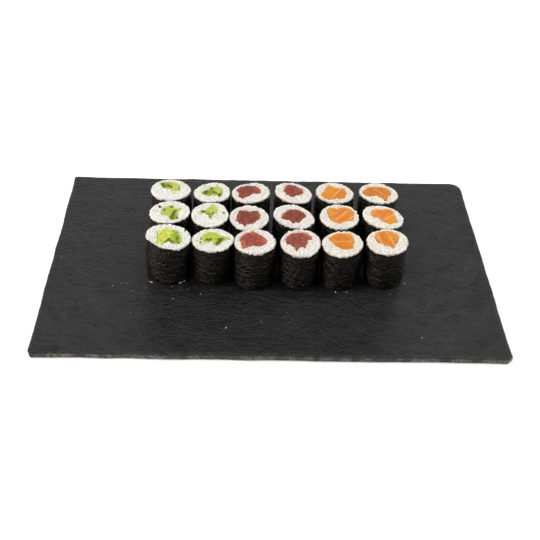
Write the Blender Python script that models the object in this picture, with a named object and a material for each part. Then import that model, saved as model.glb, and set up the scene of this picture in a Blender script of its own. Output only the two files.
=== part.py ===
"""Eighteen maki rolls standing on end on a slate serving board.

Three rows of six pieces: two columns are filled with cucumber, two with tuna and two with salmon.
Each piece is a short length of a thin roll, cut with a knife: a sleeve of seaweed, a ring of rice
inside it and the filling through the middle. The origin is the middle of the board's underside,
+X runs along the board's long side, -Y is its front and +Z is up. Everything is in metres.
"""

import math
import random
from collections import namedtuple

import bmesh
import bpy
from mathutils import Vector

MM = 0.001

# Board: a sheet of natural slate, split by hand and broken along its edges
BOARD_LENGTH = 0.300
BOARD_WIDTH = 0.200
BOARD_THICKNESS = 0.0040
BOARD_CORNER = 0.0015
BOARD_WORN_CORNER = 0.0085
BOARD_CHIPPED_CORNER = 0.0020
CORNER_STEPS = 2
WORN_CORNER_STEPS = 5
EDGE_STEP = 0.0150
EDGE_CHIP = 0.0007
TOP_BEVEL = 0.0004
TOP_BEVEL_DEPTH = 0.0006
BEVEL_CHIPPING = (0.6, 1.4)
UNDER_BEVEL = 0.0008
UNDER_BEVEL_HEIGHT = 0.0011

# Clearance left wherever one piece touches another
GAP = 0.0003

# Seaweed sleeve
NORI_THICKNESS = 0.00035
NORI_SIDES = 28
NORI_SEAM_ARC = math.radians(70)
NORI_RIM_DROP = 0.0011
NORI_RIM_WAVE = 0.0003

# Rice: its cut face bulges out over the sleeve's rim, in bumps the size of a grain
RICE_OVERHANG = 0.0005
RICE_EDGE_DROP = 0.0005
RICE_BUMP = 0.00045
RICE_BANDS = (0.36, 0.72)
RICE_WALL = 0.0009
RICE_CHORD = 0.0031

# Filling: a strip of fish or cucumber, a little domed on the cut
FILLING_CROWN = 0.0003
FILLING_BUMP = 0.0002

# A bulge in a roll's oval outline fades over this angle
BULGE_SPREAD = math.radians(22)

# A roll: where it stands, its oval (long and short diameter, and the long one's turn from +X), its
# height above the board, the bearing of the sleeve's seam, bulges in the oval (bearing, height) and
# the corners of the filling, seen from above and measured from the roll's middle. Lengths are in
# millimetres and angles in degrees.
Roll = namedtuple("Roll", "kind place oval height seam bulges filling")

# Back row
ROLLS = {
    "r1c1": Roll("cucumber", (-71.0, 39.0), (28.0, 27.0, -15), 29.5, 70, [(0, 1.0)],
                 [(-7.5, 8.5), (-6, 10.5), (-4, 9.5), (1, 10), (4, 9), (6.5, 5), (7, 1), (6, -1),
                  (2, -1), (0, 1), (-4, 1.5), (-6.5, 5)]),
    "r1c2": Roll("cucumber", (-41.5, 36.7), (26.5, 24.5, 30), 29.5, 110, [(60, 0.6), (320, 0.7)],
                 [(-7, -1.5), (-6.5, 0.5), (-4.5, 3), (-2.5, 4), (-1, 6.5), (1, 6), (3.5, 7.5),
                  (6.5, 5.5), (7.5, 1), (7, -3), (5.5, -5.5), (3.5, -3.5), (1.5, -3.5), (-1.5, -5),
                  (-4.5, -3.5)]),
    "r1c3": Roll("tuna", (-14.0, 37.0), (28.0, 25.0, 30), 29.5, 150, [(60, 1.0)],
                 [(-10.5, 3.5), (-6.5, 8.5), (-1.5, 9), (3.5, 8.5), (7, 4.5), (6.5, -0.5),
                  (1, -1), (-0.5, -3.5), (-3.5, -5), (-5.5, -7.5), (-8.5, -5), (-8, -1)]),
    "r1c4": Roll("tuna", (16.0, 38.0), (29.5, 23.5, -45), 29.5, 85, [],
                 [(-6.5, 2), (-5.5, 7), (-4.5, 9.5), (-2, 10.5), (3, 8), (6.5, 4.5), (7, 0),
                  (5, -2), (3, -3), (1, -3.5), (0, -5), (-2.5, -4), (-5, -1.5)]),
    "r1c5": Roll("salmon", (45.5, 39.0), (28.0, 26.0, -30), 29.5, 20, [],
                 [(-4.5, 8.5), (-2.5, 9.5), (-0.5, 8), (1, 6), (6, 6), (7.5, 4.5), (8.5, -1),
                  (7, -6), (3, -7.5), (-3, -8), (-6.5, -10), (-10.5, -8), (-10.5, -3), (-7, 1.5)]),
    "r1c6": Roll("salmon", (77.0, 39.5), (28.5, 25.0, -30), 29.5, 130, [(90, 0.7)],
                 [(-12, 0.5), (-7, 7.5), (0, 8), (5.5, 7), (8.5, 3.5), (8.5, -1), (5.5, -6.5),
                  (4, -10), (2, -6.5), (-1, -4), (-4, -2.5), (-8.5, -3), (-12, -2)]),
    # Middle row
    "r2c1": Roll("cucumber", (-69.5, 11.5), (28.5, 26.5, 30), 29.5, 165, [(225, 0.6)],
                 [(-5.5, 0.5), (-4.5, 4.5), (-3, 6), (0, 7.5), (1.5, 7.5), (3, 4.5), (5, 4), (8, 5),
                  (7.5, 3), (5.5, 1.5), (5, -1.5), (5.5, -4), (6.5, -8), (5, -8.5), (1.5, -9.5),
                  (0.5, -8), (0, -4), (-3, -4), (-5.5, -3)]),
    "r2c2": Roll("cucumber", (-42.0, 9.0), (29.5, 26.0, 90), 29.5, 40, [(60, 0.8)],
                 [(-6.5, 3), (-5, 5), (-2.5, 5), (-2, 6), (-0.5, 9.5), (2, 13), (3.5, 11),
                  (5, 5), (4, 1), (1.5, -0.5), (1, -5.5), (-0.5, -2), (-2, 0)]),
    "r2c3": Roll("tuna", (-15.0, 6.5), (30.0, 27.0, -85), 29.5, 200, [(240, 0.6)],
                 [(-9, -4.5), (-8, 3), (-7, 8), (-1.5, 8), (0, 6.5), (3, 8), (5.5, 7.5), (8, 3),
                  (6.5, -1.5), (4, -4.5), (1.5, -8), (-2, -7.5), (-3, -11.5), (-4, -8.5),
                  (-6, -8)]),
    "r2c4": Roll("tuna", (15.5, 8.5), (31.5, 25.0, -45), 29.5, 330, [(90, 0.7)],
                 [(-8.5, -2.5), (-7, 3.5), (-4, 7), (-1.5, 8.5), (3.5, 8), (7.5, 4), (8.5, 0.5),
                  (6, -2), (3, -7.5), (1, -5.5), (-0.5, -8.5), (-2.5, -5), (-5.5, -3.5)]),
    "r2c5": Roll("salmon", (47.0, 9.5), (30.0, 27.5, 80), 29.5, 95, [],
                 [(-8, 7.5), (-6, 10), (-3, 10), (-1.5, 8.5), (0.5, 10.5), (6, 11), (9.5, 8),
                  (10.5, 5.5), (9.5, 1), (9.5, -3.5), (7.5, -4.5), (5, -5), (2.5, -7), (-1, -8),
                  (-4, -6), (-6.5, -3.5), (-7.5, 3)]),
    "r2c6": Roll("salmon", (77.0, 10.0), (30.5, 26.0, -45), 29.5, 15, [],
                 [(-8, 3.5), (-6.5, 7), (-4, 9), (-1, 8.5), (4.5, 10.5), (7.5, 8), (8, 3),
                  (9.5, -5.5), (7, -6.5), (4, -8.5), (1, -6), (-1, -4.5), (-2.5, -1), (-3.5, 0),
                  (-5.5, -0.5), (-7, 1)]),
    # Front row
    "r3c1": Roll("cucumber", (-69.0, -18.0), (32.0, 29.0, -35), 29.5, 150, [(45, 0.6)],
                 [(-7, 6), (-4, 8), (-1, 10.5), (2.5, 8.5), (6.5, 6.5), (8.5, 1.5), (9.5, -4.5),
                  (8.5, -8), (3, -6), (0, -4.5), (-3, -8.5), (-6.5, -9), (-6.5, -3.5)]),
    "r3c2": Roll("cucumber", (-39.0, -19.5), (27.0, 26.5, 0), 29.0, 60, [(10, 1.0), (180, 0.6)],
                 [(-8.5, 0), (-7.5, 4), (-6, 7), (-3, 9), (1, 8.5), (5, 5), (8, 3.5), (11, 3),
                  (11, 1), (8, -0.5), (5.5, -3.5), (3, -6), (1, -4.5), (0, -2), (-3, -3),
                  (-6, -2.5)]),
    "r3c3": Roll("tuna", (-11.0, -23.0), (28.5, 27.5, 85), 31.0, 125, [(210, 0.6)],
                 [(-10, 1), (-9.5, 4.5), (-6.5, 8.5), (-3.5, 9.5), (-1.5, 11.5), (3, 7.5), (6, 4.5),
                  (8, 0), (6, -3), (3.5, -5), (-1, -4.5), (-4, -6), (-8, -8), (-9, -3.5)]),
    "r3c4": Roll("tuna", (19.0, -21.5), (31.0, 27.0, 85), 29.5, 35, [(300, 0.6)],
                 [(-9.5, 3), (-8.5, 7), (-6, 9.5), (-3, 10.5), (1.5, 11.5), (5, 10), (7.5, 7),
                  (8, 4.5), (5, 2), (4, -1.5), (2.5, -6), (1.5, -4), (-1, -5), (-3, -9.5),
                  (-3.5, -5.5), (-5.5, -3.5), (-7, -1.5), (-9, -2)]),
    "r3c5": Roll("salmon", (47.0, -22.0), (30.0, 26.5, 60), 29.5, 100, [(165, 0.6)],
                 [(-9, 6), (-7, 9.5), (-4, 11.5), (1.5, 12), (6.5, 10.5), (7.5, 7), (7.5, 1),
                  (6, -5.5), (2.5, -6), (-0.5, -5.5), (-4, -3), (-6, 0)]),
    "r3c6": Roll("salmon", (77.0, -19.5), (30.0, 27.5, 60), 30.0, 110, [(150, 0.6)],
                 [(-8, 4), (-7, 8.5), (-5.5, 11), (-2, 12.5), (1, 12.5), (5.5, 10), (8, 7.5),
                  (7.5, 2.5), (5, -2.5), (3, -7), (1, -4.5), (-2, -4), (-4.5, -2), (-6.5, -1)]),
}


def linear(level):
    """Turn one sRGB level from 0 to 1 into linear light."""
    return level / 12.92 if level <= 0.04045 else ((level + 0.055) / 1.055) ** 2.4


def finish(name, colour, roughness):
    """Make a plain material from a hex colour."""
    material = bpy.data.materials.new(name)
    material.use_nodes = True
    shader = material.node_tree.nodes["Principled BSDF"]
    levels = [int(colour[i:i + 2], 16) / 255 for i in (1, 3, 5)]
    shader.inputs["Base Color"].default_value = [linear(level) for level in levels] + [1.0]
    shader.inputs["Roughness"].default_value = roughness
    shader.inputs["Metallic"].default_value = 0.0
    return material


def unit(bearing):
    """Give the direction of a bearing measured from +X, seen from above."""
    return Vector((math.cos(bearing), math.sin(bearing)))


def outline_reach(roll, bearing):
    """Give how far a roll's outline is from its middle in one direction."""
    long_half, short_half = (diameter * MM / 2 for diameter in roll.oval[:2])
    turn = bearing - math.radians(roll.oval[2])
    reach = long_half * short_half / math.hypot(short_half * math.cos(turn),
                                                long_half * math.sin(turn))
    for bulge_bearing, height in roll.bulges:
        away = (bearing - math.radians(bulge_bearing) + math.pi) % math.tau - math.pi
        reach += height * MM * math.exp(-(away / BULGE_SPREAD) ** 2)
    return reach


def outline_point(roll, start, bearing, inset):
    """Follow a bearing from a start point to the outline, moved in by an inset."""
    near, far = 0.0, 0.05
    for _ in range(30):
        middle = (near + far) / 2
        point = start + unit(bearing) * middle
        limit = outline_reach(roll, math.atan2(point.y, point.x)) - inset
        near, far = (middle, far) if point.length < limit else (near, middle)
    return start + unit(bearing) * near


def filling_corners(roll):
    """Give the filling's corners anticlockwise, drawn in where too little rice would be left."""
    rim = RICE_OVERHANG + NORI_THICKNESS + 2 * GAP + RICE_WALL
    corners = []
    for x, y in reversed(roll.filling):
        corner = Vector((x, y)) * MM
        reach = outline_reach(roll, math.atan2(y, x)) - rim
        corners.append(corner * min(1.0, reach / corner.length))
    return corners


def rising_bearings(points, middle):
    """Give the points' bearings round a middle, each more than the one before."""
    bearings = []
    for point in points:
        away = point - middle
        bearing = math.atan2(away.y, away.x)
        while bearings and bearing < bearings[-1]:
            bearing += math.tau
        bearings.append(bearing)
    return bearings


def filling_hole(corners):
    """Move each edge of the filling outwards by the gap and give the corners of the hole."""
    hole = []
    for i, corner in enumerate(corners):
        before = (corner - corners[i - 1]).normalized()
        after = (corners[(i + 1) % len(corners)] - corner).normalized()
        out_before = Vector((before.y, -before.x))
        out_after = Vector((after.y, -after.x))
        bisector = (out_before + out_after).normalized()
        hole.append(corner + bisector * GAP / max(0.5, bisector.dot(out_before)))
    return hole


def rice_spokes(roll, corners):
    """Give matching points on the filling's hole and on the rice's outer edge, spoke by spoke."""
    middle = sum(corners, Vector((0, 0))) / len(corners)
    hole = filling_hole(corners)
    bearings = rising_bearings(hole, middle)
    spokes = []
    for i, bearing in enumerate(bearings):
        end = (i + 1) % len(hole)
        turn = (bearings[end] - bearing) % math.tau
        here, there = hole[i] - middle, hole[end] - middle
        chord = outline_point(roll, middle, bearing + turn, 0) - outline_point(roll, middle, bearing, 0)
        steps = max(1, round(chord.length / RICE_CHORD))
        for step in range(steps):
            heading = unit(bearing + turn * step / steps)
            edge = there - here
            reach = (here.x * edge.y - here.y * edge.x) / (heading.x * edge.y - heading.y * edge.x)
            spokes.append((middle + heading * reach, middle, bearing + turn * step / steps))
    return spokes


def loft(name, rows, material, parent, capped):
    """Skin anticlockwise rows, low to high, into a solid; uncapped, the last row joins the first."""
    bm = bmesh.new()
    loops = [[bm.verts.new(point) for point in row] for row in rows]
    pairs = list(zip(loops, loops[1:]))
    if not capped:
        pairs.append((loops[-1], loops[0]))
    for low, high in pairs:
        for i in range(len(low)):
            j = (i + 1) % len(low)
            bm.faces.new((low[i], low[j], high[j], high[i]))
    if capped:
        bm.faces.new(reversed(loops[0]))
        bm.faces.new(loops[-1])
    return place(name, bm, material, parent)


def place(name, bm, material, parent):
    """Put a finished mesh in the scene."""
    mesh = bpy.data.meshes.new(name)
    bm.to_mesh(mesh)
    bm.free()
    mesh.materials.append(material)
    mesh.shade_smooth()
    mesh.set_sharp_from_angle(angle=math.radians(35))
    piece = bpy.data.objects.new(name, mesh)
    piece.parent = parent
    bpy.context.scene.collection.objects.link(piece)
    return piece


def at_height(points, height):
    """Lift flat points to one height."""
    return [(point.x, point.y, height) for point in points]


def rim_height(roll, bearing):
    """Give the height of the sleeve's uneven rim."""
    wave = math.sin(2 * bearing + roll.seam) + 0.6 * math.sin(5 * bearing + 2 * roll.seam)
    return roll.height * MM - GAP - NORI_RIM_DROP + NORI_RIM_WAVE * wave / 1.6


def nori_sleeve(label, roll, material, parent):
    """Wrap the roll in its sheet of seaweed, which laps over itself at the seam."""
    inner, outer, rims = [], [], []
    seam_start = math.radians(roll.seam)
    for side in range(NORI_SIDES):
        bearing = seam_start + math.tau * side / NORI_SIDES
        reach = outline_reach(roll, bearing) - RICE_OVERHANG
        lapped = math.tau * side / NORI_SIDES < NORI_SEAM_ARC
        outer.append(unit(bearing) * (reach + (NORI_THICKNESS if lapped else 0.0)))
        inner.append(unit(bearing) * (reach - NORI_THICKNESS))
        rims.append(rim_height(roll, bearing))
    top_outer = [(point.x, point.y, rim) for point, rim in zip(outer, rims)]
    top_inner = [(point.x, point.y, rim) for point, rim in zip(inner, rims)]
    rows = [at_height(inner, 0.0), at_height(outer, 0.0), top_outer, top_inner]
    return loft(f"nori_{label}", rows, material, parent, capped=False)


def rice_ring(label, roll, corners, material, parent):
    """Pack the rice between the filling and the sleeve, and let it bulge over the rim."""
    bumps = random.Random(f"rice {label}")
    cut = roll.height * MM - GAP
    neck_inset = RICE_OVERHANG + NORI_THICKNESS + GAP
    foot_in, foot_out, neck, edge, hole_rim = [], [], [], [], []
    bands = [[] for _ in RICE_BANDS]
    for hole, middle, bearing in rice_spokes(roll, corners):
        wall = outline_point(roll, middle, bearing, neck_inset)
        lip = outline_point(roll, middle, bearing, 0.0)
        neck_height = rim_height(roll, math.atan2(wall.y, wall.x)) + 2 * GAP
        foot_in.append((hole.x, hole.y, 0.0))
        foot_out.append((wall.x, wall.y, 0.0))
        neck.append((wall.x, wall.y, neck_height))
        edge_height = cut - RICE_EDGE_DROP + bumps.uniform(-RICE_BUMP, RICE_BUMP) / 2
        edge.append((lip.x, lip.y, max(edge_height, neck_height + GAP / 2)))
        hole_rim.append((hole.x, hole.y, cut + bumps.uniform(-RICE_BUMP, RICE_BUMP) / 2))
        for band, share in zip(bands, RICE_BANDS):
            point = hole.lerp(lip, share)
            band.append((point.x, point.y, cut + bumps.uniform(-RICE_BUMP, RICE_BUMP)))
    rows = [foot_out, neck, edge, *reversed(bands), hole_rim, foot_in]
    return loft(f"rice_{label}", rows, material, parent, capped=False)


def filling_strip(label, roll, corners, material, parent):
    """Run the filling through the roll and dome its cut end."""
    bumps = random.Random(f"filling {label}")
    cut = roll.height * MM - GAP
    rim = [(point.x, point.y, cut + bumps.uniform(-FILLING_BUMP, FILLING_BUMP)) for point in corners]
    middle = sum(corners, Vector((0, 0))) / len(corners)
    bm = bmesh.new()
    foot = [bm.verts.new(point) for point in at_height(corners, 0.0)]
    top = [bm.verts.new(point) for point in rim]
    crown = bm.verts.new((middle.x, middle.y, cut + FILLING_CROWN))
    bm.faces.new(reversed(foot))
    for i in range(len(top)):
        j = (i + 1) % len(top)
        bm.faces.new((foot[i], foot[j], top[j], top[i]))
        bm.faces.new((top[i], top[j], crown))
    return place(f"{roll.kind}_{label}", bm, material, parent)


def maki_roll(label, roll, materials):
    """Stand one roll on the board, as three pieces on an empty."""
    stand = bpy.data.objects.new(f"roll_{label}", None)
    stand.location = (roll.place[0] * MM, roll.place[1] * MM, BOARD_THICKNESS + GAP)
    bpy.context.scene.collection.objects.link(stand)
    corners = filling_corners(roll)
    nori_sleeve(label, roll, materials["nori"], stand)
    rice_ring(label, roll, corners, materials["rice"], stand)
    filling_strip(label, roll, corners, materials[roll.kind], stand)


def corner_arc(centre, radius, first_bearing):
    """Round one corner of the board, going anticlockwise."""
    steps = WORN_CORNER_STEPS if radius >= BOARD_WORN_CORNER else CORNER_STEPS
    turns = (first_bearing + math.pi / 2 * step / steps for step in range(steps + 1))
    return [centre + unit(turn) * radius for turn in turns]


def board_outline():
    """Walk round the board, with its four corners and its small breaks, and fill its full size."""
    half = Vector((BOARD_LENGTH / 2, BOARD_WIDTH / 2))
    radii = {(1, 1): BOARD_WORN_CORNER, (-1, 1): BOARD_CORNER, (-1, -1): BOARD_CORNER,
             (1, -1): BOARD_CHIPPED_CORNER}
    corners = []
    for turn, ((side_x, side_y), radius) in enumerate(radii.items()):
        centre = Vector((side_x * (half.x - radius), side_y * (half.y - radius)))
        corners.append(corner_arc(centre, radius, turn * math.pi / 2))
    breaks = random.Random("slate edge")
    outline = []
    for turn, arc in enumerate(corners):
        outline.extend(arc)
        start, end = arc[-1], corners[(turn + 1) % 4][0]
        inwards = -unit((turn + 1) * math.pi / 2)
        steps = round((end - start).length / EDGE_STEP)
        for step in range(1, steps):
            outline.append(start.lerp(end, step / steps) + inwards * breaks.uniform(0, EDGE_CHIP))
    low = Vector((min(p.x for p in outline), min(p.y for p in outline)))
    high = Vector((max(p.x for p in outline), max(p.y for p in outline)))
    stretch = Vector((BOARD_LENGTH / (high.x - low.x), BOARD_WIDTH / (high.y - low.y)))
    middle = (low + high) / 2
    return [Vector(((p.x - middle.x) * stretch.x, (p.y - middle.y) * stretch.y)) for p in outline]


def drawn_in(outline, insets):
    """Move each point of an outline inwards, square to the outline there."""
    moved = []
    for i, point in enumerate(outline):
        along = (outline[(i + 1) % len(outline)] - outline[i - 1]).normalized()
        moved.append(point + Vector((-along.y, along.x)) * insets[i])
    return moved


def slate_board(material):
    """Split the board from its block: flat faces, a chipped rim and a broken bevel under it."""
    chips = random.Random("slate bevel")
    outline = board_outline()
    top_insets = [TOP_BEVEL * chips.uniform(*BEVEL_CHIPPING) for _ in outline]
    shoulders = [BOARD_THICKNESS - TOP_BEVEL_DEPTH * chips.uniform(*BEVEL_CHIPPING) for _ in outline]
    rows = [
        at_height(drawn_in(outline, [UNDER_BEVEL] * len(outline)), 0.0),
        at_height(outline, UNDER_BEVEL_HEIGHT),
        [(point.x, point.y, shoulder) for point, shoulder in zip(outline, shoulders)],
        at_height(drawn_in(outline, top_insets), BOARD_THICKNESS),
    ]
    return loft("slate_board", rows, material, None, capped=True)


def build():
    """Clear the scene and make the board and every roll on it."""
    for piece in list(bpy.data.objects):
        bpy.data.objects.remove(piece)
    materials = {
        "slate": finish("slate", "#333437", 0.62),
        "nori": finish("nori", "#1d1c16", 0.48),
        "rice": finish("rice", "#e6e6df", 0.45),
        "cucumber": finish("cucumber", "#a3c23f", 0.35),
        "tuna": finish("tuna", "#a04a44", 0.40),
        "salmon": finish("salmon", "#ee8b35", 0.38),
    }
    slate_board(materials["slate"])
    for label, roll in ROLLS.items():
        maki_roll(label, roll, materials)


build()
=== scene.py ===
# %% [markdown]
# # Eighteen maki rolls on a slate board
#
# This lesson dresses a fixed CAD frame: a slate serving board with eighteen thin maki rolls
# standing on end. The frame says where every piece is and how big it is. Here each piece gets the
# surface that the real one has: riven stone, crinkled seaweed, grains of rice, fish and cucumber
# cut with a knife. Rows are numbered from the back, columns from the left, so `r3c1` is the front
# left roll. The frame is in metres, +X to the right, -Y to the front, +Z up.

# %% Load the frame
import math
import random
from collections import namedtuple

import bmesh
import bpy
import numpy as np
from mathutils import Matrix, Vector, geometry, noise


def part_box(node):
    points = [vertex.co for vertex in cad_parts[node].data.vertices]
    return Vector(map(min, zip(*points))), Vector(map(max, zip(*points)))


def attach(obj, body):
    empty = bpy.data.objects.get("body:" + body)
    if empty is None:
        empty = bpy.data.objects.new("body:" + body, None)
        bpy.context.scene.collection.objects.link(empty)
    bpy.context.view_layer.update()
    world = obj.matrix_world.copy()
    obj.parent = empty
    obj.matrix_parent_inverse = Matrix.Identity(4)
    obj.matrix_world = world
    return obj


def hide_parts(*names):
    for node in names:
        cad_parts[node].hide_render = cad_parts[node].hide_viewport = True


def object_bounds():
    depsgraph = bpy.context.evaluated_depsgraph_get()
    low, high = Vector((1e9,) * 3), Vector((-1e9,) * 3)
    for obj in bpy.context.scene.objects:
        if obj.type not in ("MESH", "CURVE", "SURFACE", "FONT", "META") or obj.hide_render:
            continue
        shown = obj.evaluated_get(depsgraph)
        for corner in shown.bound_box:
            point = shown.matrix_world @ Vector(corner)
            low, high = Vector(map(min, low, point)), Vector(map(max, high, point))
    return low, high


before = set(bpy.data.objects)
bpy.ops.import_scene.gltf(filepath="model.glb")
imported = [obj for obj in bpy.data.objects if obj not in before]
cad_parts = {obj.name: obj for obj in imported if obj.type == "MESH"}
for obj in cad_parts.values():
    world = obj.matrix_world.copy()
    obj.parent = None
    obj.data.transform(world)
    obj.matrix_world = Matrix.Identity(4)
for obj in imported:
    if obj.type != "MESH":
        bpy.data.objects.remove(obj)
CAD_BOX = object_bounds()
MM = 0.001
BOARD_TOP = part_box("slate_board")[1].z
print("CAD box", [round(side / MM, 1) for side in CAD_BOX[1] - CAD_BOX[0]], "mm, board top",
      round(BOARD_TOP / MM, 2))

# %% [markdown]
# ## The camera
#
# A studio photographer stands back and looks down at the board, so its far edge looks shorter than
# its near edge. The camera is a plain 36 mm sensor with a 63 mm lens, about 0.66 m away and tipped
# 38 degrees below the horizon. Its place and turns come from the four corners of the board.

# %% Place the camera
LENS = 63.13
CAMERA_PLACE = (-0.01944, -0.52514, 0.40339)
CAMERA_PITCH = math.radians(37.983)
CAMERA_YAW = math.radians(-2.157)
CAMERA_ROLL = math.radians(2.286)


def placed(name, data, matrix=Matrix()):
    """Put a camera, a lamp or a mesh in the scene."""
    thing = bpy.data.objects.new(name, data)
    thing.matrix_world = matrix
    bpy.context.scene.collection.objects.link(thing)
    return thing


lens = bpy.data.cameras.new("studio_camera")
lens.lens = LENS
lens.sensor_width = 36.0
lens.clip_start, lens.clip_end = 0.01, 20.0
turn = (Matrix.Rotation(CAMERA_YAW, 4, "Z") @ Matrix.Rotation(math.pi / 2 - CAMERA_PITCH, 4, "X")
        @ Matrix.Rotation(CAMERA_ROLL, 4, "Z"))
bpy.context.scene.camera = placed("studio_camera", lens,
                                  Matrix.Translation(CAMERA_PLACE) @ turn)
print("camera looks down", round(math.degrees(CAMERA_PITCH), 1), "degrees")

# %% [markdown]
# ## The studio
#
# The board stands on a white table in a tent that is bright at the back and dim at the front. The
# stone mirrors the bright back of the tent softly, so it is greyer where nothing stands in the way
# and darker in front of the rolls. Two wide lamps above, to the left and to the right, light the
# rice and leave the alleys between the rolls dark. A small low warm lamp at the left picks out the
# crinkles of the seaweed. The table and the lamps aren't part of the object.

# %% Colours and nodes
def linear(level):
    """Turn one sRGB level from 0 to 1 into linear light."""
    return level / 12.92 if level <= 0.04045 else ((level + 0.055) / 1.055) ** 2.4


def colour(code):
    """Turn a hex colour into linear red, green, blue and alpha."""
    return (*(linear(int(code[i:i + 2], 16) / 255) for i in (1, 3, 5)), 1.0)


def add(tree, kind, settings=(), links=()):
    """Add a node, set its properties and sockets, and link sockets to other nodes' outputs."""
    made = tree.nodes.new(kind)
    for name, value in dict(settings).items():
        if isinstance(name, int) or name in made.inputs:
            made.inputs[name].default_value = value
        else:
            setattr(made, name, value)
    for name, source in dict(links).items():
        tree.links.new(source, made.inputs[name])
    return made


# %% Make the light
bpy.context.scene.view_settings.view_transform = "Standard"
TENT_FRONT, TENT_BACK = 0.08, 1.00
TENT_DIM_UP_TO, TENT_BRIGHT_FROM = 0.70, 0.96
tent = bpy.data.worlds.new("white_tent")
tent.use_nodes = True
sky = tent.node_tree.nodes["Background"]
sky.inputs["Color"].default_value = colour("#ffffff")
way = add(tent.node_tree, "ShaderNodeTexCoord").outputs["Generated"]
way = add(tent.node_tree, "ShaderNodeSeparateXYZ", links={0: way}).outputs["Y"]
fall = add(tent.node_tree, "ShaderNodeMapRange",
           {"From Min": TENT_DIM_UP_TO, "From Max": TENT_BRIGHT_FROM,
            "To Min": TENT_FRONT, "To Max": TENT_BACK}, {"Value": way})
tent.node_tree.links.new(fall.outputs["Result"], sky.inputs["Strength"])
bpy.context.scene.world = tent

LAMPS = {
    "high_left_softbox": ((-0.62, -0.10, 0.82), 0.75, 7.2, "#fffdf8"),
    "high_right_softbox": ((0.58, 0.10, 0.85), 0.80, 8.8, "#fffdf8"),
    "low_left_softbox": ((-0.84, -0.55, 0.20), 0.26, 3.9, "#ffe0c8"),
}
for name, (place, width, watts, tint) in LAMPS.items():
    lamp = bpy.data.lights.new(name, "AREA")
    lamp.size, lamp.energy, lamp.color = width, watts, colour(tint)[:3]
    placed(name, lamp, Matrix.Translation(place)
           @ Vector(place).to_track_quat("Z", "Y").to_matrix().to_4x4())
print(len(LAMPS), "lamps in a white tent")


# %% Lay the table
def mesh_of(name, shape):
    """Turn a bmesh into a mesh."""
    mesh = bpy.data.meshes.new(name)
    shape.to_mesh(mesh)
    shape.free()
    return mesh


TABLE_SIZE = 6.0
TABLE_BELOW = 0.0004
table_white = bpy.data.materials.new("white_table")
table_white.use_nodes = True
table_shader = table_white.node_tree.nodes["Principled BSDF"]
table_shader.inputs["Base Color"].default_value = colour("#fdfdfd")
table_shader.inputs["Roughness"].default_value = 0.9
table_shader.inputs["Emission Color"].default_value = colour("#ffffff")
table_shader.inputs["Emission Strength"].default_value = 0.24

shape = bmesh.new()
bmesh.ops.create_grid(shape, x_segments=1, y_segments=1, size=TABLE_SIZE / 2)
bmesh.ops.translate(shape, verts=shape.verts, vec=(0, 0, CAD_BOX[0].z - TABLE_BELOW))
table = placed("white_table", mesh_of("white_table", shape))
table.data.materials.append(table_white)
print("table laid", round(TABLE_BELOW / MM, 1), "mm under the board")

# %% [markdown]
# ## Reading the frame
#
# Every new surface is fitted to the CAD solid it stands for. A level cut through a solid gives its
# outline at that height, as a slice does in the kitchen. The helpers below make that cut, measure
# how far an outline lies from a middle, and find the nearest point on it.

# %% Outlines from the CAD solids
def anticlockwise(corners):
    """Give an outline so that it runs anticlockwise."""
    turning = sum(a.cross(b) for a, b in zip(corners, corners[1:] + corners[:1]))
    return corners if turning > 0 else corners[::-1]


def border_of(shape):
    """Give the edges that have a face on one side only."""
    return [edge for edge in shape.edges if edge.is_boundary]


def sliced(node, height):
    """Give what lies below one height of a CAD node, open at the top."""
    solid = bmesh.new()
    solid.from_mesh(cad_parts[node].data)
    bmesh.ops.remove_doubles(solid, verts=solid.verts, dist=0.00001)
    bmesh.ops.bisect_plane(solid, geom=solid.verts[:] + solid.edges[:] + solid.faces[:], dist=1e-7,
                           plane_co=(0, 0, height), plane_no=(0, 0, 1), clear_outer=True)
    return solid


def level_cut(node, height):
    """Give a CAD node's outlines at one height, the widest first."""
    solid = sliced(node, height)
    left, outlines = border_of(solid), []
    while left:
        walk = list(left.pop(0).verts)
        while True:
            step = next((edge for edge in walk[-1].link_edges if edge in left), None)
            if step is None:
                break
            left.remove(step)
            walk.append(step.other_vert(walk[-1]))
        outlines.append(anticlockwise([vert.co.xy.copy() for vert in walk[:-1]]))
    solid.free()
    return sorted(outlines, key=lambda corners: -max(corner.x for corner in corners))


def seen_from_above(node):
    """Give a CAD node's outline as seen from above."""
    spots = {vert.co.xy.to_tuple(6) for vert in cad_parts[node].data.vertices}
    corners = [Vector(spot) for spot in sorted(spots)]
    return anticlockwise([corners[i] for i in geometry.convex_hull_2d(corners)])


def reach(outline, middle, bearing):
    """Measure from a middle to an outline in one direction."""
    far = middle + Vector((math.cos(bearing), math.sin(bearing))) * 0.05
    hits = (geometry.intersect_line_line_2d(middle, far, a, b)
            for a, b in zip(outline, outline[1:] + outline[:1]))
    return max((hit - middle).length for hit in hits if hit)


def nearest(points, outline):
    """Give the nearest place on an outline to each point, and how far away it is."""
    start = np.array(outline)
    along = np.roll(start, -1, axis=0) - start
    share = ((points[:, None] - start) * along).sum(2) / (along ** 2).sum(1)
    places = start + along * np.clip(share, 0, 1)[..., None]
    gaps = np.linalg.norm(points[:, None] - places, axis=2)
    best = gaps.argmin(1)
    rows = np.arange(len(points))
    return places[rows, best], gaps[rows, best]


def inside(points, outline):
    """Say which points lie inside an outline."""
    start = np.array(outline)
    end = np.roll(start, -1, axis=0)
    x, y = points[:, :1], points[:, 1:]
    crosses = (start[:, 1] > y) != (end[:, 1] > y)
    with np.errstate(divide="ignore", invalid="ignore"):
        at = start[:, 0] + (y - start[:, 1]) * (end[:, 0] - start[:, 0]) / (end[:, 1] - start[:, 1])
    return (crosses & (x < at)).sum(1) % 2 == 1


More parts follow.
